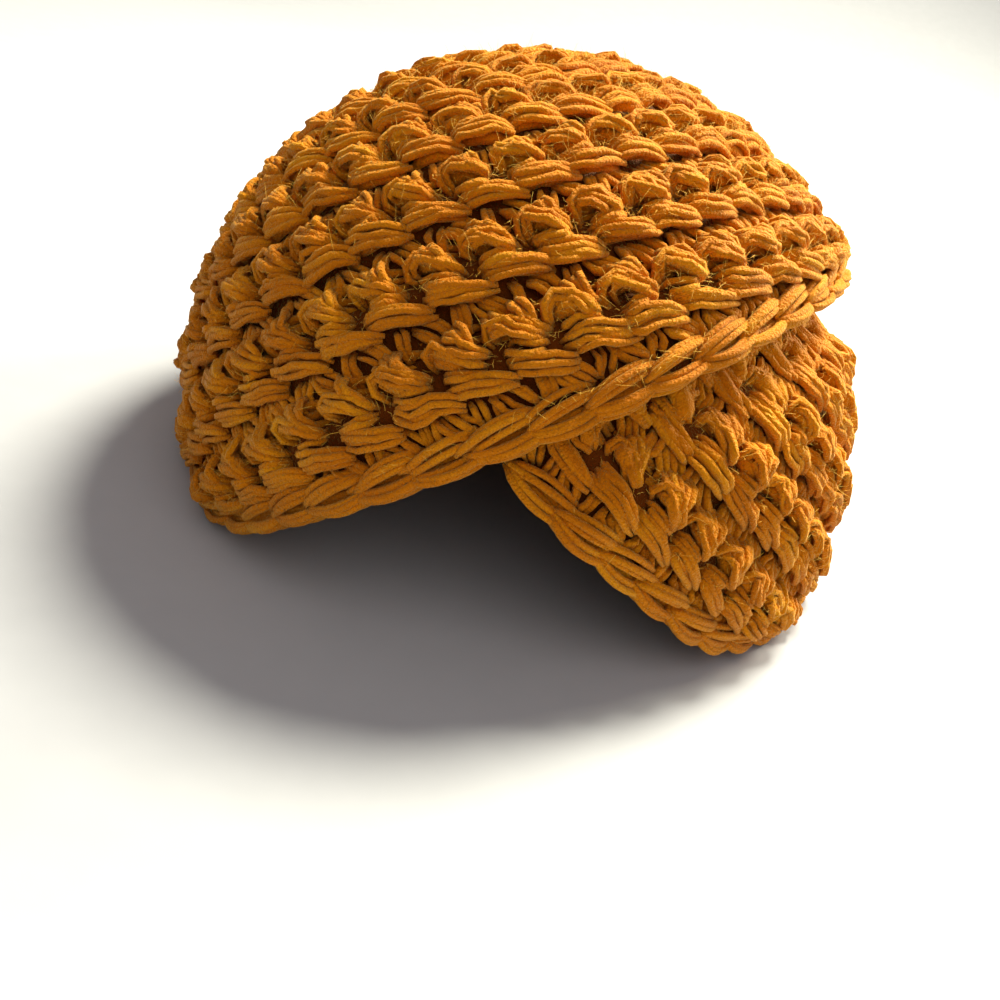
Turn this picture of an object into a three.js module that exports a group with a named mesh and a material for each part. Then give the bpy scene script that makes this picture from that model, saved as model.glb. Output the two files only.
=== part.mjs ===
// Turban hat of thick crochet yarn: a crown wrap laid aslant over the head and a
// side wrap that crosses under it at the forehead and runs round the right side.
// Millimetres, +Z up, the forehead faces -Y, the rim rests on Z = 0.
import * as THREE from "three";

const DEGREE = Math.PI / 180;

// The head form that both wraps follow: an egg, wider behind than across.
const HALF_WIDTH = 94;
const HALF_DEPTH = 104;
const CROWN_RISE = 91;
const LOWER_SWEEP = 120;
const BROW_HEIGHT = 28;
const RIGHT_OF_MIDDLE = 0.958;
const AHEAD_OF_MIDDLE = 2.448;

// The fabric: standing ridges, each one a pair of crochet rows, that circle the
// wrap's axis like lines of latitude. The edge ends in a rounded lip.
const WALL = 9;
const RIDGE_RELIEF = 2.4;
const RIDGE_STEP = 11.75 * DEGREE;
const FIRST_RIDGE = 90.7 * DEGREE;
const LIP_RELIEF = 1.8;
const LIP_CREST = 1.5;
const LIP_WIDTH = 7;
const RINGS_PER_RIDGE = 4;
const LEAST_RING_STEP = 0.8;
const RIM_CORNER = 14;

// The crown wrap leans left and back, and covers the whole crown.
const CROWN = {
  axis: new THREE.Vector3(-0.595, 0.4, 0.7).normalize(),
  edge: new THREE.Vector3(-0.573, 0.216, 0.79).normalize(),
  edgeHeight: 0.5,
  around: 60,
  innerRings: 13,
};

// The side wrap leans right and back. It is tucked under the crown wrap's edge.
const SIDE = {
  axis: new THREE.Vector3(0.5, 0.35, 0.79).normalize(),
  edge: new THREE.Vector3(0.495, 0.27, 0.826).normalize(),
  edgeHeight: -11,
  from: 103 * DEGREE,
  to: -95 * DEGREE,
  around: 46,
  innerRings: 7,
};
const TUCK = 20;
const PIECE_GAP = 0.9;
const DOUBLED = { rise: 2, near: 4, far: 38, from: 8, to: 40 };
const FIRST_SWELL = { from: 3, to: 26, share: 0.5 };
const LAST_SWELL = { from: 30, to: 95, share: 0.5 };

const YARN = { color: 0xc87d19, roughness: 0.95, metalness: 0 };

const BROW = new THREE.Vector3(RIGHT_OF_MIDDLE, -AHEAD_OF_MIDDLE, BROW_HEIGHT);
const RIGHTWARD = new THREE.Vector3(1, 0, 0);
for (const wrap of [CROWN, SIDE]) {
  wrap.side = RIGHTWARD.clone().projectOnPlane(wrap.axis).normalize();
  wrap.across = new THREE.Vector3().crossVectors(wrap.axis, wrap.side);
}

const smooth = (from, to, x) => THREE.MathUtils.smoothstep(x, from, to);

// Distance of the head form's surface from the brow's centre along a direction.
function eggRadius(way) {
  const rise = way.z > 0 ? CROWN_RISE : LOWER_SWEEP;
  return 1 / Math.hypot(way.x / HALF_WIDTH, way.y / HALF_DEPTH, way.z / rise);
}

// The direction at an angle from a wrap's axis and a turn about it.
function wayOf(wrap, angle, turn) {
  return new THREE.Vector3()
    .addScaledVector(wrap.axis, Math.cos(angle))
    .addScaledVector(wrap.side, Math.sin(angle) * Math.cos(turn))
    .addScaledVector(wrap.across, Math.sin(angle) * Math.sin(turn));
}

// Bisects for the angle where a falling function of the angle passes zero.
function rootOf(falling, low, high) {
  let [a, b] = [low, high];
  for (let i = 0; i < 40; i++) {
    const middle = (a + b) / 2;
    if (falling(middle) > 0) a = middle;
    else b = middle;
  }
  return (a + b) / 2;
}

// Height of a direction's surface point over a wrap's edge plane, and over the table.
function overEdge(wrap, way) {
  return way.dot(wrap.edge) * eggRadius(way) - wrap.edgeHeight;
}

function overTable(way) {
  return way.z * eggRadius(way) + BROW_HEIGHT;
}

// The rim lies where the edge plane or the table ends the fabric, rounded between them.
function overRim(wrap, way) {
  const [edge, table] = [overEdge(wrap, way), overTable(way)];
  const near = Math.max(RIM_CORNER - Math.abs(edge - table), 0) / RIM_CORNER;
  return Math.min(edge, table) - (near * near * RIM_CORNER) / 4;
}

function rimAngle(wrap, turn) {
  return rootOf((angle) => overRim(wrap, wayOf(wrap, angle, turn)), 0.4, 2.6);
}

// Outward relief of the fabric: ridges by angle, and the lip near the rim.
function relief(angle, fromRim) {
  const ridge = RIDGE_RELIEF * Math.cos((2 * Math.PI * (angle - FIRST_RIDGE)) / RIDGE_STEP);
  return THREE.MathUtils.lerp(LIP_RELIEF, ridge, smooth(LIP_CREST, LIP_WIDTH, fromRim));
}

// How deep the side wrap lies under the head form's surface: below the crown wrap
// where that covers it, swelling out by steps past its edge.
function sideDepth(way) {
  const angle = way.angleTo(CROWN.axis);
  const turn = Math.atan2(way.dot(CROWN.across), way.dot(CROWN.side));
  const past = (angle - rimAngle(CROWN, turn)) * eggRadius(way);
  const swell = [FIRST_SWELL, LAST_SWELL].reduce(
    (sum, step) => sum + step.share * smooth(step.from, step.to, past),
    0,
  );
  return (WALL + PIECE_GAP) * (1 - swell);
}

// How far the crown wrap stands out near its edge, where it lies on the side wrap.
function crownDepth(way) {
  const byEdge = 1 - smooth(DOUBLED.near, DOUBLED.far, overEdge(CROWN, way));
  const onSideWrap = smooth(DOUBLED.from, DOUBLED.to, overEdge(SIDE, way));
  return -DOUBLED.rise * byEdge * onSideWrap;
}

function placed(way, radius) {
  const point = way.clone().multiplyScalar(radius).add(BROW);
  point.z = Math.max(point.z, 0);
  return point;
}

// The angles of the rings between a top and a rim: at fixed steps across each
// ridge, drawn together only where the fabric ends before them.
function ringAngles(top, rim, rings) {
  const step = LEAST_RING_STEP / HALF_DEPTH;
  const start = FIRST_RIDGE + 0.5 * RIDGE_STEP;
  const angles = [rim, rim - LIP_CREST / HALF_DEPTH];
  for (let j = 0; j < rings; j++) {
    const wanted = start - (j * RIDGE_STEP) / RINGS_PER_RIDGE;
    const most = rim - (LIP_WIDTH / 2 / HALF_DEPTH) - j * step;
    const least = top + (rings - j) * step;
    angles.push(Math.max(Math.min(wanted, most), least));
  }
  if (top > 0) angles.push(top);
  return angles.reverse();
}

// Joins rings of points, each running once round, into a closed skin with a
// point at each end.
function skin(name, rings, first, last) {
  const count = rings[0].length;
  const points = [...rings.flat(), first, last];
  const [atFirst, atLast] = [points.length - 2, points.length - 1];
  const end = rings.length - 1;
  const faces = [];
  for (let i = 0; i < count; i++) {
    const next = (i + 1) % count;
    faces.push(atFirst, i, next);
    faces.push(atLast, end * count + next, end * count + i);
    for (let ring = 0; ring < end; ring++) {
      const [a, b] = [ring * count + i, ring * count + next];
      faces.push(a, a + count, b + count);
      faces.push(a, b + count, b);
    }
  }
  const geometry = new THREE.BufferGeometry().setFromPoints(points);
  geometry.setIndex(faces);
  geometry.computeVertexNormals();
  const mesh = new THREE.Mesh(geometry, new THREE.MeshStandardMaterial(YARN));
  mesh.name = name;
  return mesh;
}

// The section of a wrap at one turn: outside from its top down to the rim, round
// the lip, and up the inside.
function section(wrap, turn, top, rings, depthAt) {
  const rim = rimAngle(wrap, turn);
  const outer = ringAngles(top, rim, rings).map((angle) => {
    const way = wayOf(wrap, angle, turn);
    const depth = depthAt(way);
    const fromRim = (rim - angle) * HALF_DEPTH;
    const shown = 1 - smooth(0.6 * WALL, WALL, depth);
    return placed(way, eggRadius(way) - depth + shown * relief(angle, fromRim));
  });
  const inner = [];
  for (let j = 0; j < wrap.innerRings; j++) {
    const angle = THREE.MathUtils.lerp(rim, top, j / wrap.innerRings);
    const way = wayOf(wrap, angle, turn);
    inner.push(placed(way, eggRadius(way) - depthAt(way) - WALL));
  }
  const rimWay = wayOf(wrap, rim, turn);
  if (overTable(rimWay) < 0.5) {
    outer[outer.length - 1].z = 0;
    outer[outer.length - 2].z = 0;
    inner[0].z = 0;
  }
  return { outer, inner };
}

const columns = (sections) => sections[0].map((_, j) => sections.map((s) => s[j]));

function crownWrap() {
  const rings = Math.floor((FIRST_RIDGE / RIDGE_STEP + 0.5) * RINGS_PER_RIDGE);
  const sections = [];
  for (let i = 0; i < CROWN.around; i++) {
    const turn = (i / CROWN.around) * 2 * Math.PI;
    const { outer, inner } = section(CROWN, turn, 0, rings, crownDepth);
    sections.push([...outer, ...inner]);
  }
  const top = placed(CROWN.axis, eggRadius(CROWN.axis));
  const under = placed(CROWN.axis, eggRadius(CROWN.axis) - WALL);
  return skin("crown_wrap", columns(sections), top, under);
}

function sideWrap() {
  const least = 20 * DEGREE;
  const rings = Math.floor(((FIRST_RIDGE - least) / RIDGE_STEP + 0.5) * RINGS_PER_RIDGE);
  const sections = [];
  for (let i = 0; i <= SIDE.around; i++) {
    const turn = THREE.MathUtils.lerp(SIDE.from, SIDE.to, i / SIDE.around);
    const tucked = (angle) => overEdge(CROWN, wayOf(SIDE, angle, turn)) - TUCK;
    const top = rootOf(tucked, 0.1, 2.2);
    const { outer, inner } = section(SIDE, turn, top, rings, sideDepth);
    const way = wayOf(SIDE, top, turn);
    inner.push(placed(way, eggRadius(way) - sideDepth(way) - WALL));
    sections.push([...outer, ...inner]);
  }
  const middle = (ring) =>
    ring.reduce((sum, p) => sum.add(p), new THREE.Vector3()).divideScalar(ring.length);
  return skin("side_wrap", sections, middle(sections[0]), middle(sections.at(-1)));
}

const hat = new THREE.Group();
hat.name = "turban_hat";
hat.add(crownWrap(), sideWrap());

export default hat;
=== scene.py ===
# %% [markdown]
# # A turban hat of thick crochet yarn
# The real hat is two bands of one fabric: soft roving yarn, crocheted in rows
# that stand up as ridges. One band is laid aslant over the crown, and the other
# crosses under it at the forehead. The solids already hold the outline, the
# walls and the ridges. What they lack is the yarn itself, so this script
# lays real strands, ply by ply, along the same rows, over a plain inner fabric.

import math

import bpy
import numpy as np
from mathutils import Matrix, Vector


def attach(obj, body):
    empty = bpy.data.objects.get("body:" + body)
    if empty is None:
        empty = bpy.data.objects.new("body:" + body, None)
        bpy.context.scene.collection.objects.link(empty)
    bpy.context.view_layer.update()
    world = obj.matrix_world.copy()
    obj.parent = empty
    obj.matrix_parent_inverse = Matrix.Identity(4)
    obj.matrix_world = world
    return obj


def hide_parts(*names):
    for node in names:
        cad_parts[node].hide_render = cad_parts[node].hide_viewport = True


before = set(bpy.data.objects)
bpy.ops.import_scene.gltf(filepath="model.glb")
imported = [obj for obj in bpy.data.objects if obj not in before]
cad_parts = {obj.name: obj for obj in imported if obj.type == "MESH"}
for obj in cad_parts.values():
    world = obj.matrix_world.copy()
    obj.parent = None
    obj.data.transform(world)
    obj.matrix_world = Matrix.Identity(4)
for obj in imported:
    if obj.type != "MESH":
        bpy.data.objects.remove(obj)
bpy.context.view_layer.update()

# %% [markdown]
# ## The head form and the two wraps
# Both wraps follow an egg shape, wider behind than across. Each wrap has an axis
# that its rows circle, like circles of latitude, and an edge plane where the
# fabric ends. The numbers are the ones the solids were made from, in
# millimetres, so strands made from them lie where the solids are.

# %% Sizes shared with the solids
MM = 0.001
EGG_CENTRE = np.array([0.958, -2.448, 28.0])
HALF_WIDTH, HALF_DEPTH, CROWN_RISE, LOWER_SWEEP = 94.0, 104.0, 91.0, 120.0
WALL = 9.0
PIECE_GAP = 0.9
RIDGE_STEP = math.radians(11.75)
FIRST_RIDGE = math.radians(90.7)
RIM_CORNER = 14.0
MEAN_RADIUS = 100.0
RIDGE_PITCH = RIDGE_STEP * MEAN_RADIUS


def unit(v):
    v = np.asarray(v, float)
    return v / np.linalg.norm(v, axis=-1, keepdims=True)


def smooth(low, high, x):
    """0 below low and 1 above high, with a soft slope between."""
    t = np.clip((np.asarray(x, float) - low) / (high - low), 0.0, 1.0)
    return t * t * (3.0 - 2.0 * t)


def egg_radius(way):
    """Distance in mm from the egg's centre to its surface, along a unit way."""
    rise = np.where(way[..., 2] > 0, CROWN_RISE, LOWER_SWEEP)
    parts = (way[..., 0] / HALF_WIDTH, way[..., 1] / HALF_DEPTH, way[..., 2] / rise)
    return 1.0 / np.sqrt(sum(p * p for p in parts))


print("ridge pitch", round(RIDGE_PITCH, 1), "mm, wall", WALL, "mm")

# %% The wraps' axes and edges


def make_wrap(name, axis, edge, edge_height):
    """The rows' axis with two directions square to it, and the plane of the edge."""
    axis = unit(axis)
    rightward = np.array([1.0, 0.0, 0.0])
    side = unit(rightward - axis * axis[0])
    wrap = {"name": name, "axis": axis, "side": side, "across": np.cross(axis, side)}
    wrap["edge"], wrap["edge_height"] = unit(edge), edge_height
    return wrap


CROWN = make_wrap("crown", (-0.595, 0.4, 0.7), (-0.573, 0.216, 0.79), 0.5)
SIDE = make_wrap("side", (0.5, 0.35, 0.79), (0.495, 0.27, 0.826), -11.0)


def way_of(wrap, angle, turn):
    """The unit way at an angle from the wrap's axis and a turn about it."""
    angle, turn = np.broadcast_arrays(angle, turn)
    c, s = np.cos(angle)[..., None], np.sin(angle)[..., None]
    around = wrap["side"] * np.cos(turn)[..., None] + wrap["across"] * np.sin(turn)[..., None]
    return wrap["axis"] * c + around * s


def over_edge(wrap, way):
    """Height in mm over the plane of the wrap's edge."""
    return (way @ wrap["edge"]) * egg_radius(way) - wrap["edge_height"]


def over_rim(wrap, way):
    """Height over the edge or the table, whichever is nearer, rounded where they meet."""
    edge, table = over_edge(wrap, way), way[..., 2] * egg_radius(way) + EGG_CENTRE[2]
    near = np.maximum(RIM_CORNER - np.abs(edge - table), 0.0) / RIM_CORNER
    return np.minimum(edge, table) - near * near * RIM_CORNER / 4.0


print("crown axis", CROWN["axis"].round(3), "side axis", SIDE["axis"].round(3))

# %% Where each rim runs
HALVINGS = 36


def root_of(falling, low, high):
    """Where a falling function passes zero, by halving the span."""
    for _ in range(HALVINGS):
        middle = (low + high) / 2.0
        above = falling(middle) > 0
        low, high = np.where(above, middle, low), np.where(above, high, middle)
    return (low + high) / 2.0


TURNS = np.linspace(-math.pi, math.pi, 721)
SEARCH_FROM, SEARCH_SPAN = 0.4, 2.2
for wrap in (CROWN, SIDE):
    start = np.full(TURNS.shape, SEARCH_FROM)
    wrap["rim"] = root_of(
        lambda a: over_rim(wrap, way_of(wrap, a, TURNS)), start, start + SEARCH_SPAN)


def rim_angle(wrap, turn):
    """The rim's angle from the wrap's axis, at any turn about it."""
    return np.interp((turn + math.pi) % (2 * math.pi) - math.pi, TURNS, wrap["rim"])


for wrap in (CROWN, SIDE):
    print(wrap["name"], "rim from", np.degrees(wrap["rim"].min()).round(), "to",
          np.degrees(wrap["rim"].max()).round(), "degrees from its axis")

# %% [markdown]
# ## How deep each fabric lies
# Near its edge the crown wrap rides on the side wrap, so it stands out a little.
# The side wrap lies a wall deeper where it is covered, and swells out again past
# the crown wrap's edge. These are the solids' own steps.

# %% Depth of each wrap under the egg's surface
DOUBLED = {"rise": 2.0, "near": 4.0, "far": 38.0, "from": 8.0, "to": 40.0}
SWELLS = ({"from": 3.0, "to": 26.0, "share": 0.5}, {"from": 30.0, "to": 95.0, "share": 0.5})
SIDE_SPAN = (math.radians(-93.0), math.radians(101.0))


def turn_about(wrap, way):
    return np.arctan2(way @ wrap["across"], way @ wrap["side"])


def crown_depth(way):
    by_edge = 1.0 - smooth(DOUBLED["near"], DOUBLED["far"], over_edge(CROWN, way))
    over_side = smooth(DOUBLED["from"], DOUBLED["to"], over_edge(SIDE, way))
    return -DOUBLED["rise"] * by_edge * over_side


def past_crown_edge(way):
    """How far in mm a way lies outside the crown wrap's edge."""
    angle = np.arccos(np.clip(way @ CROWN["axis"], -1.0, 1.0))
    return (angle - rim_angle(CROWN, turn_about(CROWN, way))) * egg_radius(way)


def side_depth(way):
    past = past_crown_edge(way)
    swell = sum(step["share"] * smooth(step["from"], step["to"], past) for step in SWELLS)
    return (WALL + PIECE_GAP) * (1.0 - swell)


CROWN["depth"], SIDE["depth"] = crown_depth, side_depth


def shown(wrap, way):
    """1 where the fabric shows, falling to 0 where the other wrap covers it."""
    if wrap is CROWN:
        return np.ones(way.shape[:-1])
    return 1.0 - smooth(0.6 * WALL, WALL, side_depth(way))


forward = unit(np.array([[0.3, -0.9, 0.3]]))
print("side wrap's depth in front:", side_depth(forward).round(1), "mm")

# %% [markdown]
# ## From flat fabric to the head
# A strand is drawn on flat fabric: how far along the row, how far across it, and
# how high it stands. One function bends that onto the wrap. Strands that would
# pass the rim are drawn in and sunk, as a hem pulls the last row under. A second
# function says which strands a wrap holds at all.

# %% Bend flat fabric onto a wrap
STRAND_LEVEL = -1.9
HEM = 4.5
HEM_SOFTNESS = 3.0
HEM_SINK = 0.25
LOWEST_LIFT = -3.2
INNER_LEVEL = 1.6 - WALL
TABLE_CLEARANCE = 1.0


def on_wrap(wrap, angle, turn, lift, hem=HEM, inward=False):
    """The place in mm of a strand's point, and the outward way there."""
    rim = rim_angle(wrap, turn)
    inside = (rim - angle) * MEAN_RADIUS
    kept = hem + HEM_SOFTNESS * np.logaddexp(0.0, (inside - hem) / HEM_SOFTNESS)
    pulled = kept - inside
    way = way_of(wrap, rim - kept / MEAN_RADIUS, turn)
    lift = np.where(lift > 0, lift * shown(wrap, way), lift)
    lift = np.maximum(lift - HEM_SINK * pulled, np.minimum(LOWEST_LIFT, lift))
    level = INNER_LEVEL - lift if inward else STRAND_LEVEL + lift
    place = way * (egg_radius(way) - wrap["depth"](way) + level)[..., None] + EGG_CENTRE
    place[..., 2] = np.maximum(place[..., 2], TABLE_CLEARANCE)
    return place, way


in_front = np.array([-math.pi / 2])
sample, _ = on_wrap(CROWN, np.array([FIRST_RIDGE]), in_front, np.array([0.0]))
print("first ridge in front lies at", sample.round(1), "mm")

# %% Say which strands lie on a wrap


def lies_on(wrap, way, angle, turn, past_rim, under_crown):
    """Limits in mm: how far inside the rim, and how far out from the crown wrap's edge."""
    keep = (rim_angle(wrap, turn) - angle) * MEAN_RADIUS > past_rim
    if wrap is SIDE:
        keep &= past_crown_edge(way) > under_crown
        keep &= (turn > SIDE_SPAN[0]) & (turn < SIDE_SPAN[1])
    return keep


third_ridge = FIRST_RIDGE - 2 * RIDGE_STEP
tries = np.radians([-80.0, -40.0, 0.0, 40.0, 80.0])
tried = lies_on(SIDE, way_of(SIDE, third_ridge, tries), third_ridge, tries, 0.0, 0.0)
print("side wrap's third ridge shows at", np.degrees(tries[tried]).round(), "degrees")

# %% [markdown]
# ## Plies as tubes
# The yarn is three or four soft plies that hardly twist. Each ply is a thin tube
# swept along its path. Blender's own curves could do this, but so many thousand
# short tubes would be slow as objects, so numpy makes the rings of many tubes
# at once and hands Blender one mesh. Each tube carries a thread map, with
# its length one way and its girth the other, for the fibres in the material.

# %% Sweep many tubes at once
TINY = 1e-9


def tubes(paths, radii, outward, sides):
    """Rings of points (n, s, sides, 3) round n paths of s places each."""
    along = np.gradient(paths, axis=1)
    along /= np.linalg.norm(along, axis=-1, keepdims=True) + TINY
    up = outward - along * np.sum(outward * along, axis=-1, keepdims=True)
    up /= np.linalg.norm(up, axis=-1, keepdims=True) + TINY
    across = np.cross(along, up)
    spin = np.linspace(0.0, 2 * math.pi, sides, endpoint=False) - math.pi / 2
    ring = up[:, :, None] * np.sin(spin)[:, None] + across[:, :, None] * np.cos(spin)[:, None]
    return paths[:, :, None] + ring * radii[:, :, None, None]


straight = np.array([[[0.0, 0.0, 0.0], [5.0, 0.0, 0.0]]])
rings = tubes(straight, np.ones((1, 2)), np.array([0.0, 0.0, 1.0]), 5)
print("a straight ply of two rings has", rings[0].size // 3, "points")

# %% Turn the rings into faces and a thread map
THREAD_SHIFT = 50.0


def tube_faces(batch, base):
    """Corners of the sides and caps of a batch, and the thread map of each corner."""
    n, s, sides = batch["paths"].shape[0], batch["paths"].shape[1], batch["sides"]
    at = base + np.arange(n * s * sides).reshape(n, s, sides)
    nxt = np.roll(at, -1, axis=2)
    quads = np.stack([at[:, :-1], nxt[:, :-1], nxt[:, 1:], at[:, 1:]], axis=-1)
    caps = np.concatenate([at[:, 0, ::-1], at[:, -1]], axis=0)

    step = np.linalg.norm(np.diff(batch["paths"], axis=1), axis=-1)
    run = np.concatenate([np.zeros((n, 1)), np.cumsum(step, axis=1)], axis=1)
    run = run + batch["tone"][:, None] * THREAD_SHIFT
    low = np.broadcast_to(run[:, :-1, None], quads.shape[:3])
    high = np.broadcast_to(run[:, 1:, None], quads.shape[:3])
    left = np.broadcast_to(np.arange(sides) / sides, quads.shape[:3])
    right = left + 1.0 / sides
    quad_map = np.stack([np.stack([low, left], -1), np.stack([low, right], -1),
                         np.stack([high, right], -1), np.stack([high, left], -1)], axis=-2)
    cap_run = np.concatenate([run[:, 0], run[:, -1]])
    cap_map = np.stack([np.repeat(cap_run, sides), np.zeros(caps.size)], -1)
    return quads.reshape(-1, 4), caps, quad_map.reshape(-1, 2), cap_map


# %% Hand Blender one mesh of many plies


def finished(mesh, material):
    """An object of the mesh's own name, smooth and in its material."""
    mesh.shade_smooth()
    mesh.materials.append(material)
    piece = bpy.data.objects.new(mesh.name, mesh)
    bpy.context.scene.collection.objects.link(piece)
    return piece


def thread_mesh(name, batches, material):
    """batches: dicts with paths (n, s, 3) in mm, radii (n, s), outward, sides, tone (n)."""
    places, tones, corners, starts, maps = [], [], [], [], []
    base = count = 0
    for batch in batches:
        rings = tubes(batch["paths"], batch["radii"], batch["outward"], batch["sides"])
        places.append(rings.reshape(-1, 3))
        tones.append(np.repeat(batch["tone"], rings.shape[1] * rings.shape[2]))
        quads, caps, quad_map, cap_map = tube_faces(batch, base)
        for faces, face_map in ((quads, quad_map), (caps, cap_map)):
            starts.append(count + np.arange(len(faces)) * faces.shape[1])
            corners.append(faces.reshape(-1))
            maps.append(face_map)
            count += faces.size
        base += len(places[-1])
    places, corners = np.concatenate(places), np.concatenate(corners)
    starts = np.concatenate(starts)

    mesh = bpy.data.meshes.new(name)
    mesh.vertices.add(len(places))
    mesh.vertices.foreach_set("co", (places * MM).astype(np.float32).ravel())
    mesh.loops.add(len(corners))
    mesh.loops.foreach_set("vertex_index", corners.astype(np.int32))
    mesh.polygons.add(len(starts))
    mesh.polygons.foreach_set("loop_start", starts.astype(np.int32))
    thread = mesh.uv_layers.new(name="thread")
    thread.data.foreach_set("uv", np.concatenate(maps).astype(np.float32).ravel())
    tone = mesh.attributes.new("tone", "FLOAT", "POINT")
    tone.data.foreach_set("value", np.concatenate(tones).astype(np.float32))
    mesh.update(calc_edges=True)
    triangles = int(np.sum(np.diff(np.append(starts, len(corners))) - 2))
    print(name, "has", triangles, "triangles")
    return finished(mesh, material)


print("meshes are made in metres, so each number in mm is taken times", MM)

# %% [markdown]
# ## The yarn's finish
# Mustard roving is matte, with a soft sheen where fibres catch the light, and its
# colour drifts a little along the strand. A thread map lets fine noise run along
# each ply like fibres. Flat numbers such as roughness and sheen sit on the
# shader itself, and only colour and bump come through nodes.

# %% Helpers for noise, shares and bump


class Nodes:
    """The node tree of one new material, with short ways to add what yarn needs."""

    def __init__(self, name):
        self.material = bpy.data.materials.new(name)
        self.material.use_nodes = True
        self.tree = self.material.node_tree
        self.shader = self.tree.nodes["Principled BSDF"]

    def add(self, kind):
        return self.tree.nodes.new("ShaderNode" + kind)

    def link(self, out, into):
        self.tree.links.new(out, into)

    def noise(self, place, scale, detail, roughness=0.5):
        noise = self.add("TexNoise")
        noise.inputs["Scale"].default_value = scale
        noise.inputs["Detail"].default_value = detail
        noise.inputs["Roughness"].default_value = roughness
        self.link(place, noise.inputs["Vector"])
        return noise.outputs["Fac"]

    def share(self, value, part):
        """The value times its part, with a free third socket for what is added."""
        step = self.add("Math")
        step.operation = "MULTIPLY_ADD"
        step.inputs[1].default_value = part
        self.link(value, step.inputs[0])
        return step

    def bump(self, height, strength, distance):
        raised = self.add("Bump")
        raised.inputs["Strength"].default_value = strength
        raised.inputs["Distance"].default_value = distance
        self.link(height, raised.inputs["Height"])
        return raised


print("a noise, a share and a bump are ready to use")

# %% Make the yarn material
FIBRE_STRETCH = (1.6, 11.0, 1.0)


def yarn_material(name, dark, middle, light, bump):
    nodes = Nodes(name)
    shader = nodes.shader
    shader.inputs["Roughness"].default_value = 0.6
    shader.inputs["Specular IOR Level"].default_value = 0.1
    shader.inputs["Specular Tint"].default_value = (1.0, 0.86, 0.40, 1.0)
    shader.inputs["Sheen Weight"].default_value = 0.36
    shader.inputs["Sheen Roughness"].default_value = 0.35
    shader.inputs["Sheen Tint"].default_value = (1.0, 0.88, 0.30, 1.0)

    thread = nodes.add("UVMap")
    thread.uv_map = "thread"
    stretch = nodes.add("Mapping")
    stretch.inputs["Scale"].default_value = FIBRE_STRETCH
    nodes.link(thread.outputs["UV"], stretch.inputs["Vector"])
    fibres = nodes.noise(stretch.outputs["Vector"], 1.0, 4.0, 0.65)
    place = nodes.add("TexCoord").outputs["Object"]
    drift = nodes.noise(place, 60.0, 3.0)
    tone = nodes.add("Attribute")
    tone.attribute_name = "tone"

    by_fibre = nodes.share(fibres, 0.3)
    by_drift = nodes.share(drift, 0.4)
    by_tone = nodes.share(tone.outputs["Fac"], 0.12)
    by_tone.inputs[2].default_value = 0.1
    nodes.link(by_tone.outputs[0], by_drift.inputs[2])
    nodes.link(by_drift.outputs[0], by_fibre.inputs[2])
    ramp = nodes.add("ValToRGB")
    ramp.color_ramp.elements[0].position = 0.2
    ramp.color_ramp.elements[0].color = (*dark, 1.0)
    ramp.color_ramp.elements[1].position = 0.85
    ramp.color_ramp.elements[1].color = (*light, 1.0)
    centre = ramp.color_ramp.elements.new(0.52)
    centre.color = (*middle, 1.0)
    nodes.link(by_fibre.outputs[0], ramp.inputs["Fac"])
    nodes.link(ramp.outputs["Color"], shader.inputs["Base Color"])

    nap = nodes.bump(nodes.noise(place, 1500.0, 2.0), bump, 0.0010)
    raised = nodes.bump(fibres, bump, 0.0003)
    nodes.link(nap.outputs["Normal"], raised.inputs["Normal"])
    nodes.link(raised.outputs["Normal"], shader.inputs["Normal"])
    return nodes.material


YARN = yarn_material("mustard_roving", (0.40, 0.084, 0.001), (0.61, 0.180, 0.002),
                     (0.88, 0.41, 0.008), 0.9)
# The deep roving is the yarn darkened into painted shade. The walls behind the holes and on the
# hat's inside wear it, so the holes look dark.
SHADE_PAINTED_YARN = yarn_material("painted_shade_roving", (0.09, 0.016, 0.001), (0.15, 0.030, 0.001),
                     (0.22, 0.050, 0.002), 0.9)
print("yarn materials:", YARN.name, SHADE_PAINTED_YARN.name)

# %% [markdown]
# ## One stitch, as a table
# Each ridge repeats one cluster, about 13 mm long, between two eyes. A curl of
# plies hooks over the eye. A crest fans out above and gathers into a waist beside
# the next eye, with a narrow horn next to it. Below the waist a bar of plies
# leaves the eye and slopes down under the next one. Legs cross the valley, in
# turn a broad leaf and a thin pair. Two thick cores fill the crest and the bar
# from within, and a few plies lie under them. Each bundle's centre line is given
# by points: along the row in stitches from the eye, then across towards the
# crown and lift in millimetres. The thick cores and plies widen by their factor.

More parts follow.
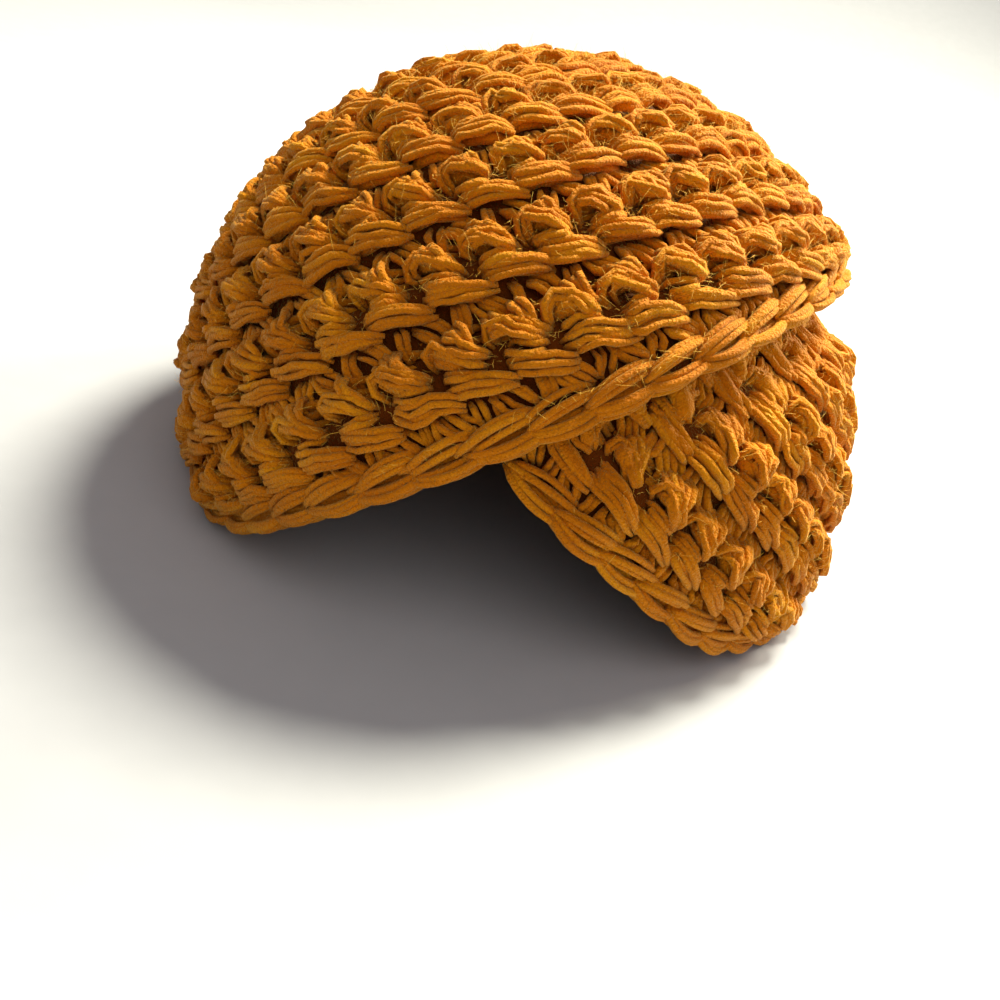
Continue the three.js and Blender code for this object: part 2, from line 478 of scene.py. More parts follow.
# %% The strands of one stitch
STITCH_PITCH = 13.2
PLY = 0.93
BUNDLES = {
    "curl": {
        "points": [(0.17, 2.8, -2.4), (0.07, 5.4, 1.2), (0.21, 7.0, 2.8),
                   (0.48, 4.9, 3.3), (0.70, 2.3, 2.6), (0.84, 1.2, -1.8)],
        "plies": 3, "spread": (2.6, 3.6, 3.8, 3.2, 2.4, 1.8), "tilt": 0.0, "twist": -0.2,
        "rings": 8, "sides": 5,
    },
    "crest": {
        "points": [(0.22, 9.4, -2.2), (0.29, 8.4, 1.3), (0.43, 6.7, 3.1),
                   (0.62, 4.2, 3.6), (0.76, 2.4, 2.4), (0.87, 1.6, -1.8)],
        "plies": 4, "spread": (5.8, 5.4, 4.4, 3.2, 2.4, 1.8), "tilt": -0.3, "twist": -0.3,
        "rings": 8, "sides": 5,
    },
    "horn": {
        "points": [(0.55, 10.6, -1.2), (0.58, 9.4, 1.9), (0.63, 7.3, 3.3), (0.68, 5.2, 3.0),
                   (0.74, 3.4, 0.8)],
        "plies": 3, "spread": (3.8, 3.2, 2.4, 1.8, 1.4), "tilt": 0.0, "twist": 0.4,
        "rings": 6, "sides": 5,
    },
    "waist": {
        "points": [(0.21, 0.9, -2.2), (0.31, 0.8, 1.3), (0.53, 0.3, 2.8), (0.72, -0.2, 2.2),
                   (0.83, -0.6, -1.8)],
        "plies": 2, "spread": (2.6, 2.6, 2.4, 2.0, 1.6), "tilt": 0.0, "twist": 0.2,
        "rings": 6, "sides": 5,
    },
    "bar": {
        "points": [(0.15, -2.0, -2.2), (0.27, -2.3, 1.4), (0.56, -3.1, 2.5), (0.92, -4.3, 2.3),
                   (1.28, -5.7, 0.2)],
        "plies": 4, "spread": (3.8, 5.0, 5.4, 4.6, 2.6), "tilt": 0.3, "twist": 0.2,
        "rings": 8, "sides": 5,
    },
    "leaf": {
        "points": [(-0.14, -5.2, -2.0), (0.0, -7.8, -1.1), (0.17, -10.2, -1.1),
                   (0.31, -13.2, -2.4)],
        "plies": 4, "spread": (5.4, 6.6, 6.4, 5.0), "tilt": 0.0, "twist": 0.4,
        "rings": 5, "sides": 5,
    },
    "pair": {
        "points": [(0.60, -5.2, -2.0), (0.59, -8.0, -1.2), (0.57, -10.2, -1.2),
                   (0.55, -13.2, -2.4)],
        "plies": 3, "spread": (3.6, 4.2, 4.0, 3.4), "tilt": 0.0, "twist": 0.0,
        "rings": 5, "sides": 5,
    },
    "crest_core": {
        "points": [(0.22, 5.6, -2.4), (0.40, 5.6, 0.4), (0.60, 3.8, 0.8), (0.80, 1.6, -1.4)],
        "plies": 1, "spread": (0.0, 0.0, 0.0, 0.0), "tilt": 0.0, "twist": 0.0,
        "rings": 5, "sides": 6, "thick": 2.4,
    },
    "bar_core": {
        "points": [(0.18, -2.0, -2.6), (0.50, -2.8, 0.0), (0.90, -4.2, 0.0), (1.18, -5.4, -1.8)],
        "plies": 1, "spread": (0.0, 0.0, 0.0, 0.0), "tilt": 0.0, "twist": 0.0,
        "rings": 5, "sides": 6, "thick": 1.8,
    },
    "under": {
        "points": [(0.0, 6.6, -2.8), (0.48, 7.4, -1.6), (0.96, 6.6, -2.8)],
        "plies": 3, "spread": (6.0, 6.6, 6.0), "tilt": 0.0, "twist": 0.0,
        "rings": 3, "sides": 4, "thick": 1.3,
    },
}
print(sum(b["plies"] for b in BUNDLES.values()), "plies in a stitch")

# %% Draw a curve through the points


def weights(count, rings):
    """Catmull-Rom weights of count points for evenly spaced rings."""
    table = np.zeros((rings, count))
    for i, t in enumerate(np.linspace(0.0, count - 1.0, rings)):
        k = min(int(t), count - 2)
        f = t - k
        terms = (-f / 2 + f * f - f**3 / 2, 1 - 2.5 * f * f + 1.5 * f**3,
                 f / 2 + 2 * f * f - 1.5 * f**3, -f * f / 2 + f**3 / 2)
        for j, term in zip((k - 1, k, k + 1, k + 2), terms):
            if j < 0:
                table[i, 0] += 2 * term
                table[i, 1] -= term
            elif j >= count:
                table[i, count - 1] += 2 * term
                table[i, count - 2] -= term
            else:
                table[i, j] += term
    return table


print("weights of five points:", weights(5, 3).round(2).tolist())

# %% Spread a bundle's plies about its curve
POINT_SCATTER = np.array([0.03, 0.45, 0.26])
SPREAD_RANGE = (0.88, 1.12)
STAGGER = 0.28
ROLL_SCATTER, SLIDE_SCATTER = 0.12, 0.5
END_SCATTER = {"flat": 0.4, "high": 0.28}
TINY_STEP = 1e-6


def lay_bundle(bundle, cells, draw, pitch):
    """Plies of one bundle at every cell, on flat fabric, as (cells, plies, rings)."""
    points = np.array(bundle["points"])
    blend = weights(len(points), bundle["rings"])
    jitter = draw.normal(0.0, 1.0, (cells, len(points), 3)) * POINT_SCATTER
    line = blend @ (points[None] + jitter)
    along, over, lift = line[..., 0] * pitch, line[..., 1], line[..., 2]
    width = blend @ np.array(bundle["spread"])
    width = width * draw.uniform(*SPREAD_RANGE, (cells, 1))

    count = bundle["plies"]
    place = (np.arange(count) + 0.5) / count - 0.5
    stagger = np.where(np.arange(count) % 2 == 0, STAGGER, -STAGGER) * PLY
    sway = np.linspace(0.0, 1.0, bundle["rings"])
    roll = bundle["tilt"] + bundle["twist"] * (sway - 0.5)
    roll = roll + draw.normal(0, ROLL_SCATTER, (cells, count, 1))
    ends = {key: draw.normal(0.0, by, (2, cells, count, 1)) for key, by in END_SCATTER.items()}
    flat = place[None, :, None] * width[:, None]
    flat = flat + ends["flat"][0] * (1 - sway) + ends["flat"][1] * sway
    high = stagger[None, :, None] + ends["high"][0] * (1 - sway) + ends["high"][1] * sway
    side = flat * np.cos(roll) - high * np.sin(roll)
    rise = flat * np.sin(roll) + high * np.cos(roll)

    slide = draw.normal(0.0, SLIDE_SCATTER, (cells, count, 1))
    d_along, d_over = np.gradient(along, axis=1), np.gradient(over, axis=1)
    size = np.hypot(d_along, d_over) + TINY_STEP
    out_along = along[:, None] + slide - side * (d_over / size)[:, None]
    out_over = over[:, None] + side * (d_along / size)[:, None]
    return out_along, out_over, lift[:, None] + rise


bar = lay_bundle(BUNDLES["bar"], 1, np.random.default_rng(0), STITCH_PITCH)
print("one bar is", round(float(np.ptp(bar[0])), 1), "mm long")

# %% [markdown]
# ## Rows of stitches
# Each row holds as many stitches as its length takes, and every stitch gets its
# own small shifts, drawn from a seeded generator so that each run is the same.
# A stitch that would lie past the rim, or deep under the other wrap, is left out.

# %% Share out the stitches of a row
FIRST_EYE = {
    "crown": (-88.5, -87.1, -85.8, -91.0, -83.0),
    "side": (-76.9, -76.6, -72.0, -75.0),
}
FEWEST_STITCHES = 5
LEAST_ANGLE = 0.05


def row_girth(angle, pitch):
    """A row's length, how many stitches of about that pitch it takes, and their true pitch."""
    girth = 2 * math.pi * MEAN_RADIUS * math.sin(max(angle, LEAST_ANGLE))
    count = max(FEWEST_STITCHES, round(girth / pitch))
    return girth, count, girth / count


girth, count, pitch = row_girth(FIRST_RIDGE, STITCH_PITCH)
print("the first row would take", count, "stitches of", round(pitch, 2), "mm")

# %% Lay one row of stitches
TAPER = 0.62
ROW_LIMITS = {"past_rim": -6.5, "under_crown": -14.0}
PLY_RANGE = (0.86, 1.10)
PLY_SCATTER, PATH_SCATTER = 0.08, 0.15


def lay_row(wrap, row, draw):
    """Every bundle of every stitch of a row, and how many stitches it keeps."""
    angle = FIRST_RIDGE - row * RIDGE_STEP
    girth, count, pitch = row_girth(angle, STITCH_PITCH)
    eyes = FIRST_EYE[wrap["name"]]
    first = math.radians(eyes[row % len(eyes)]) + math.pi
    turns = (np.arange(count) * 2 * math.pi / count + first) % (2 * math.pi) - math.pi
    middle = way_of(wrap, np.full(count, angle), turns)
    turns = turns[lies_on(wrap, middle, angle, turns, **ROW_LIMITS)]
    if not len(turns):
        return [], 0
    batches = []
    for bundle in BUNDLES.values():
        along, over, lift = lay_bundle(bundle, len(turns), draw, pitch)
        turn = turns[:, None, None] + along / girth * 2 * math.pi
        place, way = on_wrap(wrap, angle - over / MEAN_RADIUS, turn, lift)
        n, plies, rings = along.shape
        place, way = place.reshape(n * plies, rings, 3), way.reshape(n * plies, rings, 3)
        ends = np.minimum(np.arange(rings), np.arange(rings)[::-1])
        shape = np.where(ends == 0, TAPER, 1.0)
        width = draw.uniform(*PLY_RANGE, (n * plies, 1)) * PLY * bundle.get("thick", 1.0) * shape
        width = width * (1.0 + draw.normal(0.0, PLY_SCATTER, width.shape))
        place[:, 1:-1] += draw.normal(0.0, PATH_SCATTER, place[:, 1:-1].shape)
        tone = draw.uniform(0.0, 1.0, n * plies)
        batches.append({"paths": place, "radii": width, "outward": way,
                        "sides": bundle["sides"], "tone": tone})
    return batches, len(turns)


trial, count = lay_row(CROWN, 0, np.random.default_rng(0))
print("the crown wrap's lowest row keeps", count, "stitches in", len(trial), "bundles each")

# %% Lay all rows of both wraps
ROW_GROUPS = {
    "crown_rows_low": (CROWN, (0,)),
    "crown_rows_brow": (CROWN, (1, 2)),
    "crown_rows_upper": (CROWN, (3, 4)),
    "crown_rows_top": (CROWN, (5, 6, 7)),
    "side_rows_low": (SIDE, (0, 1)),
    "side_rows_middle": (SIDE, (2, 3)),
    "side_rows_top": (SIDE, (4, 5, 6, 7)),
}
ROW_SEED = 100
yarn_pieces = []
for number, (name, (wrap, rows)) in enumerate(ROW_GROUPS.items()):
    draw = np.random.default_rng(ROW_SEED + number)
    laid, stitches = [], 0
    for row in rows:
        batches, count = lay_row(wrap, row, draw)
        laid += batches
        stitches += count
    print(name, "holds", stitches, "stitches")
    yarn_pieces.append((thread_mesh(name, laid, YARN), wrap))

# %% [markdown]
# ## The chain along each edge
# The last round of a crochet band looks like a plait: loops that lean into one
# another, each a pair of soft legs that meet in a V, with a flat core beneath.
# Two such chains run round the rim of each wrap, one on the outer corner and one
# on the inner, and between them they cover the fabric's cut thickness.

# %% The links and their legs
LINK_PITCH = 13.5
CHAINS = {
    "outer": {"inside": 2.6, "lift": -0.6, "reach": 2.3},
    "inner": {"inside": 1.2, "lift": -5.8, "reach": 2.2},
}
LEGS = {
    "core": {"side": 0.0, "plies": 4, "wide": 6.0, "height": -1.2, "links": 1.4, "turn_in": 0.0},
    "upper": {"side": 1.0, "plies": 3, "wide": 4.2, "height": 2.1, "links": 1.35, "turn_in": 3.0},
    "lower": {"side": -1.0, "plies": 3, "wide": 3.8, "height": 1.8, "links": 1.4, "turn_in": 0.6},
}
CHAIN_PLY = 0.96
CHAIN_RINGS = 9
CHAIN_PLY_RANGE = (0.88, 1.1)
LINK_SCATTER = 0.4
SCATTER_BY = np.array([1.8, 0.9, 0.7])[:, None, None, None]
LEG_SHAPE = {"apart": 0.5, "roundness": 0.8, "dive": 1.4, "sink": 0.4}
LEG_STAGGER = (0.4, -0.2)
CHAIN_HEM = -3.0


def rim_length(wrap):
    """Length along the rim in mm, from the first of TURNS to each."""
    place, _ = on_wrap(wrap, wrap["rim"], TURNS, np.zeros(TURNS.shape), hem=0.0)
    step = np.linalg.norm(np.diff(place, axis=0), axis=-1)
    return np.concatenate([[0.0], np.cumsum(step)])


for wrap in (CROWN, SIDE):
    print(wrap["name"], "edge, carried right round, is",
          round(float(rim_length(wrap)[-1])), "mm long")

# %% Lay the rim chains


def leg_lines(leg, chain):
    """Across the rim and lift, in mm, of each ply of a leg, as (plies, rings)."""
    plies = np.arange(leg["plies"])
    sway = np.linspace(0.0, 1.0, CHAIN_RINGS)
    arch = np.sin(math.pi * sway)
    over = leg["side"] * (chain["reach"] * arch**LEG_SHAPE["roundness"] + LEG_SHAPE["apart"])
    over = over + leg["turn_in"] * sway**2
    lift = chain["lift"] + leg["height"] * arch
    lift = lift - LEG_SHAPE["dive"] * sway**3 - LEG_SHAPE["sink"]
    spot = (plies + 0.5) / leg["plies"] - 0.5
    across = over + spot[:, None] * leg["wide"] * (0.5 + 0.5 * arch)
    return across, lift + np.where(plies % 2 == 1, *LEG_STAGGER)[:, None]


def lay_chain(wrap, chain, draw):
    """All legs of all links of one chain, and how many links it has."""
    length = rim_length(wrap)
    count = round(length[-1] / LINK_PITCH)
    pitch = length[-1] / count
    starts = (np.arange(count) + 0.5) * pitch
    if wrap is SIDE:
        middles = np.interp(starts, length, TURNS)
        starts = starts[(middles > SIDE_SPAN[0]) & (middles < SIDE_SPAN[1])]
        count = len(starts)
    batches = []
    sway = np.linspace(0.0, 1.0, CHAIN_RINGS)
    for leg in LEGS.values():
        across, high = leg_lines(leg, chain)
        strands = count * leg["plies"]
        shift = draw.normal(0.0, LINK_SCATTER, (3, count, leg["plies"], 1)) * SCATTER_BY
        run = (starts[:, None, None] + sway * leg["links"] * pitch + shift[0]) % length[-1]
        turn = np.interp(run, length, TURNS)
        angle = rim_angle(wrap, turn) - (chain["inside"] + across + shift[1]) / MEAN_RADIUS
        lift = np.broadcast_to(high + shift[2], run.shape)
        place, way = on_wrap(wrap, angle, turn, lift, hem=CHAIN_HEM)
        width = np.full((strands, CHAIN_RINGS), CHAIN_PLY)
        width = width * draw.uniform(*CHAIN_PLY_RANGE, (strands, 1))
        width[:, [0, -1]] *= TAPER
        batches.append({"paths": place.reshape(-1, CHAIN_RINGS, 3), "radii": width, "sides": 5,
                        "outward": way.reshape(-1, CHAIN_RINGS, 3),
                        "tone": draw.uniform(0.1, 1.0, strands)})
    return batches, count


CHAIN_SEED = 200
for number, wrap in enumerate((CROWN, SIDE)):
    draw = np.random.default_rng(CHAIN_SEED + number)
    laid = []
    for chain in CHAINS.values():
        batches, count = lay_chain(wrap, chain, draw)
        laid += batches
    print(wrap["name"], "rim chains have", count, "links each")
    yarn_pieces.append((thread_mesh(wrap["name"] + "_edge_chains", laid, YARN), wrap))

# %% [markdown]
# ## The fabric behind the strands
# Through the holes of a stitch one sees the next layer of yarn, in shade. A plain
# wall stands in for it: one skin a little under the strands outside and one at
# the fabric's inner face, joined along the rim. Its yarn is painted dark, so the
# shade in the holes and on the hat's inside is painted shade. Both carry the
# ridges, so that nothing is flat where a gap lets the eye in.

# %% Bend a skin of the wall
BACKING = {"depth": 4.2, "wave": 1.3}
INNER_SKIN = {"depth": WALL - 1.6, "wave": -0.8}
POLE_HOLE = 0.012
SIDE_TUCK = 17.0
SIDE_SEARCH_FROM, SIDE_SEARCH_SPAN = 0.1, 2.1
RIM_INSET = 2.2


def top_angle(wrap, turn):
    """Where a wall begins: at the crown's pole, or tucked under the crown wrap's edge."""
    if wrap is CROWN:
        return np.full(turn.shape, POLE_HOLE)
    low = np.full(turn.shape, SIDE_SEARCH_FROM)
    return root_of(lambda a: over_edge(CROWN, way_of(SIDE, a, turn)) - SIDE_TUCK,
                   low, low + SIDE_SEARCH_SPAN)


def skin(wrap, turn, fraction, layer):
    """Places of one ridged skin, from the top (fraction 0) to the rim (fraction 1)."""
    rim = rim_angle(wrap, turn) - RIM_INSET / MEAN_RADIUS
    angle = top_angle(wrap, turn) * (1.0 - fraction) + rim * fraction
    turn = np.broadcast_to(turn, angle.shape)
    way = way_of(wrap, angle, turn)
    wave = layer["wave"] * np.cos(2 * math.pi * (angle - FIRST_RIDGE) / RIDGE_STEP)
    radius = egg_radius(way) - wrap["depth"](way) - layer["depth"] + wave
    place = way * radius[..., None] + EGG_CENTRE
    place[..., 2] = np.maximum(place[..., 2], TABLE_CLEARANCE)
    return place


print("the wall's skins lie", BACKING["depth"], "and", INNER_SKIN["depth"], "mm deep")

# %% Join two skins into a wall
AROUND, STEPS = 120, 36
THREAD_PER_COLUMN, THREAD_PER_LINE = 3.0, 6.0


def closed_faces(at):
    """Faces round the whole crown, with its two rings of ends filled."""
    nxt = np.roll(at, -1, axis=1)
    strips = np.stack([at[:-1], at[1:], nxt[1:], nxt[:-1]], axis=-1)
    return strips.reshape(-1, 4).tolist() + [at[0].tolist(), at[-1, ::-1].tolist()]


def open_faces(at):
    """Faces of the side wall, whose skins also meet along the top and both ends."""
    nxt = np.roll(at, -1, axis=1)
    under, nxt_under = np.roll(at, -1, axis=0), np.roll(nxt, -1, axis=0)
    strips = np.stack([at, under, nxt_under, nxt], axis=-1)[:, :-1]
    faces = strips.reshape(-1, 4).tolist()
    for column, flip in ((0, 1), (-1, -1)):
        line, back = at[:STEPS, column].tolist(), at[:STEPS - 1:-1, column].tolist()
        for i in range(STEPS - 1):
            faces.append([line[i], back[i], back[i + 1], line[i + 1]][::flip])
    return faces


def wall_mesh(name, wrap, material):
    closed = wrap is CROWN
    span = (-math.pi, math.pi) if closed else SIDE_SPAN
    turn = np.linspace(*span, AROUND, endpoint=not closed)[None]
    fraction = np.linspace(0.0, 1.0, STEPS)[:, None]
    outer = skin(wrap, turn, fraction, BACKING)
    inner = skin(wrap, turn, fraction[::-1], INNER_SKIN)
    rings = np.concatenate([outer, inner])
    at = np.arange(rings[..., 0].size).reshape(rings.shape[:2])
    faces = closed_faces(at) if closed else open_faces(at)
    mesh = bpy.data.meshes.new(name)
    mesh.from_pydata((rings.reshape(-1, 3) * MM).tolist(), [], faces)
    corner = np.zeros(len(mesh.loops), np.int32)
    mesh.loops.foreach_get("vertex_index", corner)
    line, column = corner // rings.shape[1], corner % rings.shape[1]
    thread_map = np.stack([column * THREAD_PER_COLUMN, line / THREAD_PER_LINE], -1)
    thread = mesh.uv_layers.new(name="thread")
    thread.data.foreach_set("uv", thread_map.astype(np.float32).ravel())
    print(name, "has", sum(len(face) - 2 for face in faces), "triangles")
    return finished(mesh, material)


# The walls wear the dark yarn: painted shade behind the holes and inside the hat.
backing = []
for wrap in (CROWN, SIDE):
    backing.append((wall_mesh(wrap["name"] + "_backing", wrap, SHADE_PAINTED_YARN), wrap))

# %% [markdown]
# ## The inner face
# Inside, the same rows show their backs: short slanting plies in two tiers. They
# are the same bundles, only fewer and thinner, turned to face inwards.

# %% The strands of an inner stitch
INNER_BUNDLES = {
    "slant": {
        "points": [(0.0, 5.5, -1.2), (0.35, 3.4, 1.4), (0.75, 0.2, 1.5), (1.05, -2.4, -1.0)],
        "plies": 3, "spread": (4.0, 5.6, 5.6, 4.0), "tilt": 0.0, "twist": 0.4, "rings": 6,
    },
    "counter_slant": {
        "points": [(0.95, 9.8, -1.6), (0.65, 8.2, 0.4), (0.3, 6.0, 0.5), (0.02, 4.6, -1.4)],
        "plies": 3, "spread": (3.6, 5.2, 5.2, 3.6), "tilt": 0.0, "twist": -0.4, "rings": 6,
    },
}
print("inner plies in a stitch:", sum(b["plies"] for b in INNER_BUNDLES.values()))

# %% Lay the inner rows
INNER_ROWS = 8
INNER_PITCH = STITCH_PITCH * 1.1
ROW_TURN = 0.21
INNER_SHIFT = 4.0
INNER_PLY = 0.85
INNER_LIMITS = {"past_rim": -3.0, "under_crown": -10.0}


def lay_inner(wrap, draw):
    laid, stitches = [], 0
    for row in range(INNER_ROWS):
        angle = FIRST_RIDGE - (row + 0.5) * RIDGE_STEP
        girth, count, pitch = row_girth(angle, INNER_PITCH)
        turns = (np.arange(count) + ROW_TURN * row) * 2 * math.pi / count - math.pi
        middle = way_of(wrap, np.full(count, angle), turns)
        turns = turns[lies_on(wrap, middle, angle, turns, **INNER_LIMITS)]
        stitches += len(turns)
        for bundle in INNER_BUNDLES.values() if len(turns) else ():
            along, over, lift = lay_bundle(bundle, len(turns), draw, pitch)
            turn = turns[:, None, None] + along / girth * 2 * math.pi
            angles = angle - (over - INNER_SHIFT) / MEAN_RADIUS
            place, way = on_wrap(wrap, angles, turn, lift, inward=True)
            n, plies, rings = along.shape
            width = np.full((n * plies, rings), INNER_PLY)
            width[:, [0, -1]] *= TAPER
            laid.append({"paths": place.reshape(-1, rings, 3), "radii": width, "sides": 5,
                         "outward": -way.reshape(-1, rings, 3),
                         "tone": draw.uniform(0.0, 0.8, n * plies)})
    print(wrap["name"], "has", stitches, "stitches inside")
    return laid


INNER_SEED = 300
for number, wrap in enumerate((CROWN, SIDE)):
    laid = lay_inner(wrap, np.random.default_rng(INNER_SEED + number))
    yarn_pieces.append((thread_mesh(wrap["name"] + "_inner_rows", laid, YARN), wrap))

# %% [markdown]
# ## Fuzz
# Roving is barely spun, so loose fibres stand off it everywhere and glow where
# light comes from behind. Some seventeen thousand real hairs, each a thin bent
# tube, do this better than a shader can, because they also break up the outline.
# They grow on the ridges, thickest over the top and the right, where the key
# light falls: real fuzz, massed on the lit side as a painted highlight.

# %% Where the fuzz grows
MOST_HAIRS = {"crown": 14000, "side": 4400}
CANDIDATES = 12
# This way points over the top and to the right, where the key light falls. More pale hairs grow
# there and paint a highlight on top of the real fuzz.
LIT_SIDE_WAY = unit((0.5, 0.1, 0.85))
LIT_SIDE_FUZZ = {"from": 0.10, "to": 0.80, "least": 0.25}
CREST = {"phase": 0.1, "least": -0.35}
HAIR_LIMITS = {"past_rim": 1.0, "under_crown": 1.0}


def hair_roots(wrap, count, draw):
    """Angles and turns of up to count hairs, on the ridges and thickest over the top."""
    way = unit(draw.normal(0.0, 1.0, (count * CANDIDATES, 3)))
    lit_side_fuzz = smooth(LIT_SIDE_FUZZ["from"], LIT_SIDE_FUZZ["to"], way @ LIT_SIDE_WAY)
    turn = turn_about(wrap, way)
    angle = np.arccos(np.clip(way @ wrap["axis"], -1.0, 1.0))
    crest = np.cos(2 * math.pi * ((FIRST_RIDGE - angle) / RIDGE_STEP - CREST["phase"]))
    keep = lies_on(wrap, way, angle, turn, **HAIR_LIMITS) & (crest > CREST["least"])
    share = LIT_SIDE_FUZZ["least"] + (1.0 - LIT_SIDE_FUZZ["least"]) * lit_side_fuzz
    keep &= draw.uniform(0.0, 1.0, len(way)) < share
    return angle[keep][:count], turn[keep][:count]


for wrap in (CROWN, SIDE):
    angle, _ = hair_roots(wrap, MOST_HAIRS[wrap["name"]], np.random.default_rng(0))
    print(wrap["name"], "takes", len(angle), "hairs")

# %% Shape the hairs
HAIR_SHAPE = {"shortest": 0.8, "longest": 4.6, "radius": 0.05, "rings": 3}
HAIR_TAPER = np.array([1.0, 0.85, 0.3])
ROOT_LIFT = (0.5, 3.6)
STANDING = (0.10, 0.75)
LEAN, BEND = 0.9, 0.55
LENGTH_SKEW = (1.4, 3.2)
THICKNESS_RANGE = (0.7, 1.2)
LOWEST_HAIR = 0.3
FUZZ_SEED = 400


def hairs(wrap, draw):
    """One batch of thin bent tubes that root on the wrap's ridges."""
    angle, turn = hair_roots(wrap, MOST_HAIRS[wrap["name"]], draw)
    count, shape = len(angle), HAIR_SHAPE
    root, way = on_wrap(wrap, angle, turn, draw.uniform(*ROOT_LIFT, count))
    spread = draw.normal(0.0, 1.0, (count, 3))
    lean = unit(way * draw.uniform(*STANDING, (count, 1)) + unit(spread) * LEAN)
    bend = unit(draw.normal(0.0, 1.0, (count, 3))) * BEND
    reach = shape["longest"] - shape["shortest"]
    length = shape["shortest"] + draw.beta(*LENGTH_SKEW, count) * reach
    t = np.linspace(0.0, 1.0, shape["rings"])
    curve = lean[:, None] * t[None, :, None] + bend[:, None] * (t * t)[None, :, None]
    path = root[:, None] + length[:, None, None] * curve
    path[..., 2] = np.maximum(path[..., 2], LOWEST_HAIR)
    width = shape["radius"] * HAIR_TAPER * draw.uniform(*THICKNESS_RANGE, (count, 1))
    side_way = np.broadcast_to(unit(np.cross(lean, bend))[:, None], path.shape)
    return [{"paths": path, "radii": width, "outward": side_way, "sides": 3,
             "tone": draw.uniform(0.4, 1.0, count)}]


FUZZ = yarn_material("fuzz", (0.80, 0.38, 0.03), (0.92, 0.54, 0.08), (1.0, 0.72, 0.20), 0.0)
for number, wrap in enumerate((CROWN, SIDE)):
    laid = hairs(wrap, np.random.default_rng(FUZZ_SEED + number))
    yarn_pieces.append((thread_mesh(wrap["name"] + "_fuzz", laid, FUZZ), wrap))

# %% [markdown]
# ## Hand the pieces to the frame
# Every strand piece stands for the solid it was laid on, whose mesh is hidden,
# and rides with the hat's one body.

# %% Join the pieces to the frame
for piece, wrap in backing + yarn_pieces:
    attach(piece, "root")
    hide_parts(wrap["name"] + "_wrap")
print(len(backing + yarn_pieces), "pieces ride on the hat")

# %% [markdown]
# ## Floor and light
# The hat rests on a pale seamless sweep, as in a product picture. A warm key
# comes from above and behind, which brings out the fuzz and the ridges. A rim
# light picks out the right side, and a wide soft fill keeps the holes readable.
# The paper is a little grey and blue, so that the warm lamps turn it near white.

# %% Build the sweep
FLOOR_FRONT, FLOOR_BACK, HALF_SWEEP = -9.0, 1.6, 9.0
WALL_TOP, SWEEP_BEND, BEND_STEPS = 3.0, 0.8, 12
PAPER = ((0.42, 0.42, 0.45, 1.0), (0.45, 0.45, 0.48, 1.0))


def paper_material():
    nodes = Nodes("pale_paper")
    nodes.shader.inputs["Roughness"].default_value = 0.95
    nodes.shader.inputs["Specular IOR Level"].default_value = 0.1
    grain = nodes.noise(nodes.add("TexCoord").outputs["Object"], 90.0, 2.0)
    tint = nodes.add("ValToRGB")
    tint.color_ramp.elements[0].color = PAPER[0]
    tint.color_ramp.elements[1].color = PAPER[1]
    nodes.link(grain, tint.inputs["Fac"])
    nodes.link(tint.outputs["Color"], nodes.shader.inputs["Base Color"])
    return nodes.material


def sweep():
    profile = [(FLOOR_FRONT, 0.0), (FLOOR_BACK - SWEEP_BEND, 0.0)]
    for i in range(1, BEND_STEPS):
        turn = i / BEND_STEPS * math.pi / 2
        out = FLOOR_BACK - SWEEP_BEND + SWEEP_BEND * math.sin(turn)
        profile.append((out, SWEEP_BEND * (1 - math.cos(turn))))
    profile += [(FLOOR_BACK, SWEEP_BEND), (FLOOR_BACK, WALL_TOP)]
    places = [(x, y, z) for y, z in profile for x in (-HALF_SWEEP, HALF_SWEEP)]
    faces = [(2 * i, 2 * i + 1, 2 * i + 3, 2 * i + 2) for i in range(len(profile) - 1)]
    mesh = bpy.data.meshes.new("sweep")
    mesh.from_pydata(places, [], faces)
    print("the paper runs", FLOOR_BACK - FLOOR_FRONT, "m along the floor and", WALL_TOP, "m up")
    return finished(mesh, paper_material())


sweep()

# %% Set the lights


def area_light(name, place, target, size, watts, colour):
    light = bpy.data.lights.new(name, "AREA")
    light.shape = "DISK"
    light.size = size
    light.energy = watts
    light.color = colour
    lamp = bpy.data.objects.new(name, light)
    lamp.location = place
    lamp.rotation_euler = (Vector(target) - Vector(place)).to_track_quat("-Z", "Y").to_euler()
    bpy.context.scene.collection.objects.link(lamp)
    print(name, "stands at", place, "with", watts, "W")


HAT_MIDDLE = (0.0, 0.0, 0.06)
area_light("key", (0.36, 0.52, 1.04), HAT_MIDDLE, 0.4, 42.0, (1.0, 0.98, 0.80))
area_light("rim", (0.75, 0.60, 0.60), HAT_MIDDLE, 0.4, 16.0, (1.0, 0.98, 0.76))
area_light("fill", (0.25, -0.9, 1.0), HAT_MIDDLE, 1.4, 5.2, (1.0, 0.96, 0.92))

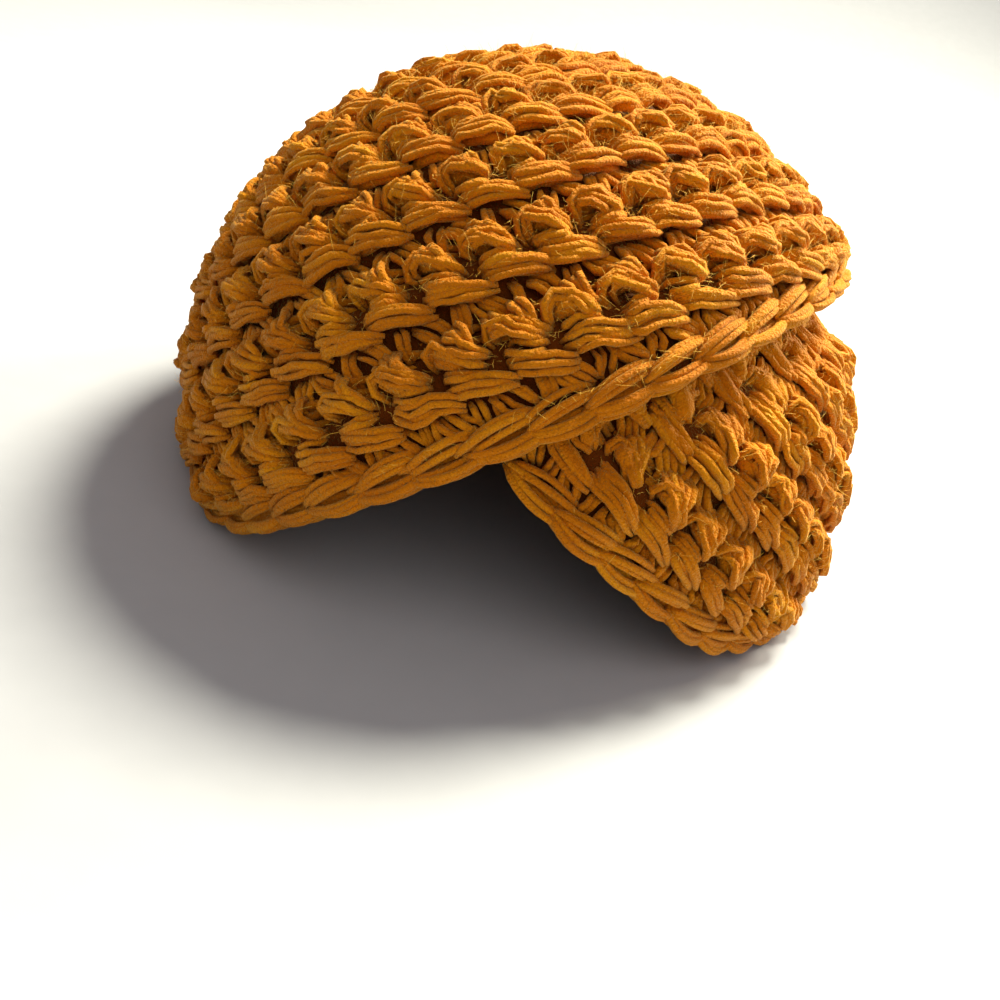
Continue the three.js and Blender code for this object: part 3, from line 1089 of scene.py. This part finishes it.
world = bpy.data.worlds.new("studio")
world.use_nodes = True
world.node_tree.nodes["Background"].inputs["Color"].default_value = (1.0, 0.96, 0.91, 1.0)
world.node_tree.nodes["Background"].inputs["Strength"].default_value = 0.30
bpy.context.scene.world = world

# %% [markdown]
# ## The camera
# The camera looks down on the forehead from close by, tilted a little to one
# side, so the near ridges look larger than the far ones. Distance and lens were
# fitted together to the outline and to the crossing edges. The aim point is the
# middle of the egg, drawn a little off the middle of the picture. The standard
# view keeps strongly lit mustard yellow, where a filmic one turns it pinkish.

# %% Place the camera
CAMERA = {"distance": 330.0, "height": 23.0, "roll": 14.0, "focal": 1131.4}
EGG_PIXEL = (527.0, 394.0)
PICTURE = 1000.0
SENSOR = 36.0


def camera_frame():
    """Where the camera stands, and its right, up and forward directions."""
    height, roll = math.radians(CAMERA["height"]), math.radians(CAMERA["roll"])
    back = np.array([0.0, -math.cos(height), math.sin(height)])
    right = np.array([1.0, 0.0, 0.0])
    up = np.array([0.0, math.sin(height), math.cos(height)])
    picture_up = up * math.cos(roll) - right * math.sin(roll)
    picture_right = right * math.cos(roll) + up * math.sin(roll)
    across = (EGG_PIXEL[0] - PICTURE / 2) / CAMERA["focal"]
    above = (PICTURE / 2 - EGG_PIXEL[1]) / CAMERA["focal"]
    ahead = unit(-back - across * picture_right - above * picture_up)
    side = unit(picture_right - ahead * (picture_right @ ahead))
    return EGG_CENTRE + back * CAMERA["distance"], side, np.cross(side, ahead), ahead


place, side, above, ahead = camera_frame()
camera = bpy.data.cameras.new("camera")
camera.sensor_width = SENSOR
camera.lens = CAMERA["focal"] * SENSOR / PICTURE
camera.clip_start = 0.01
eye = bpy.data.objects.new("camera", camera)
rows = np.stack([side, above, -ahead], axis=1)
eye.matrix_world = Matrix.Translation(Vector(place * MM)) @ Matrix(rows.tolist()).to_4x4()
bpy.context.scene.collection.objects.link(eye)
bpy.context.scene.camera = eye
print("camera at", (place * MM).round(3), "lens", round(camera.lens, 2), "mm")

# %% Keep the yarn's own colour
bpy.context.scene.view_settings.view_transform = "Standard"
bpy.context.scene.view_settings.look = "None"
print("view:", bpy.context.scene.view_settings.view_transform)
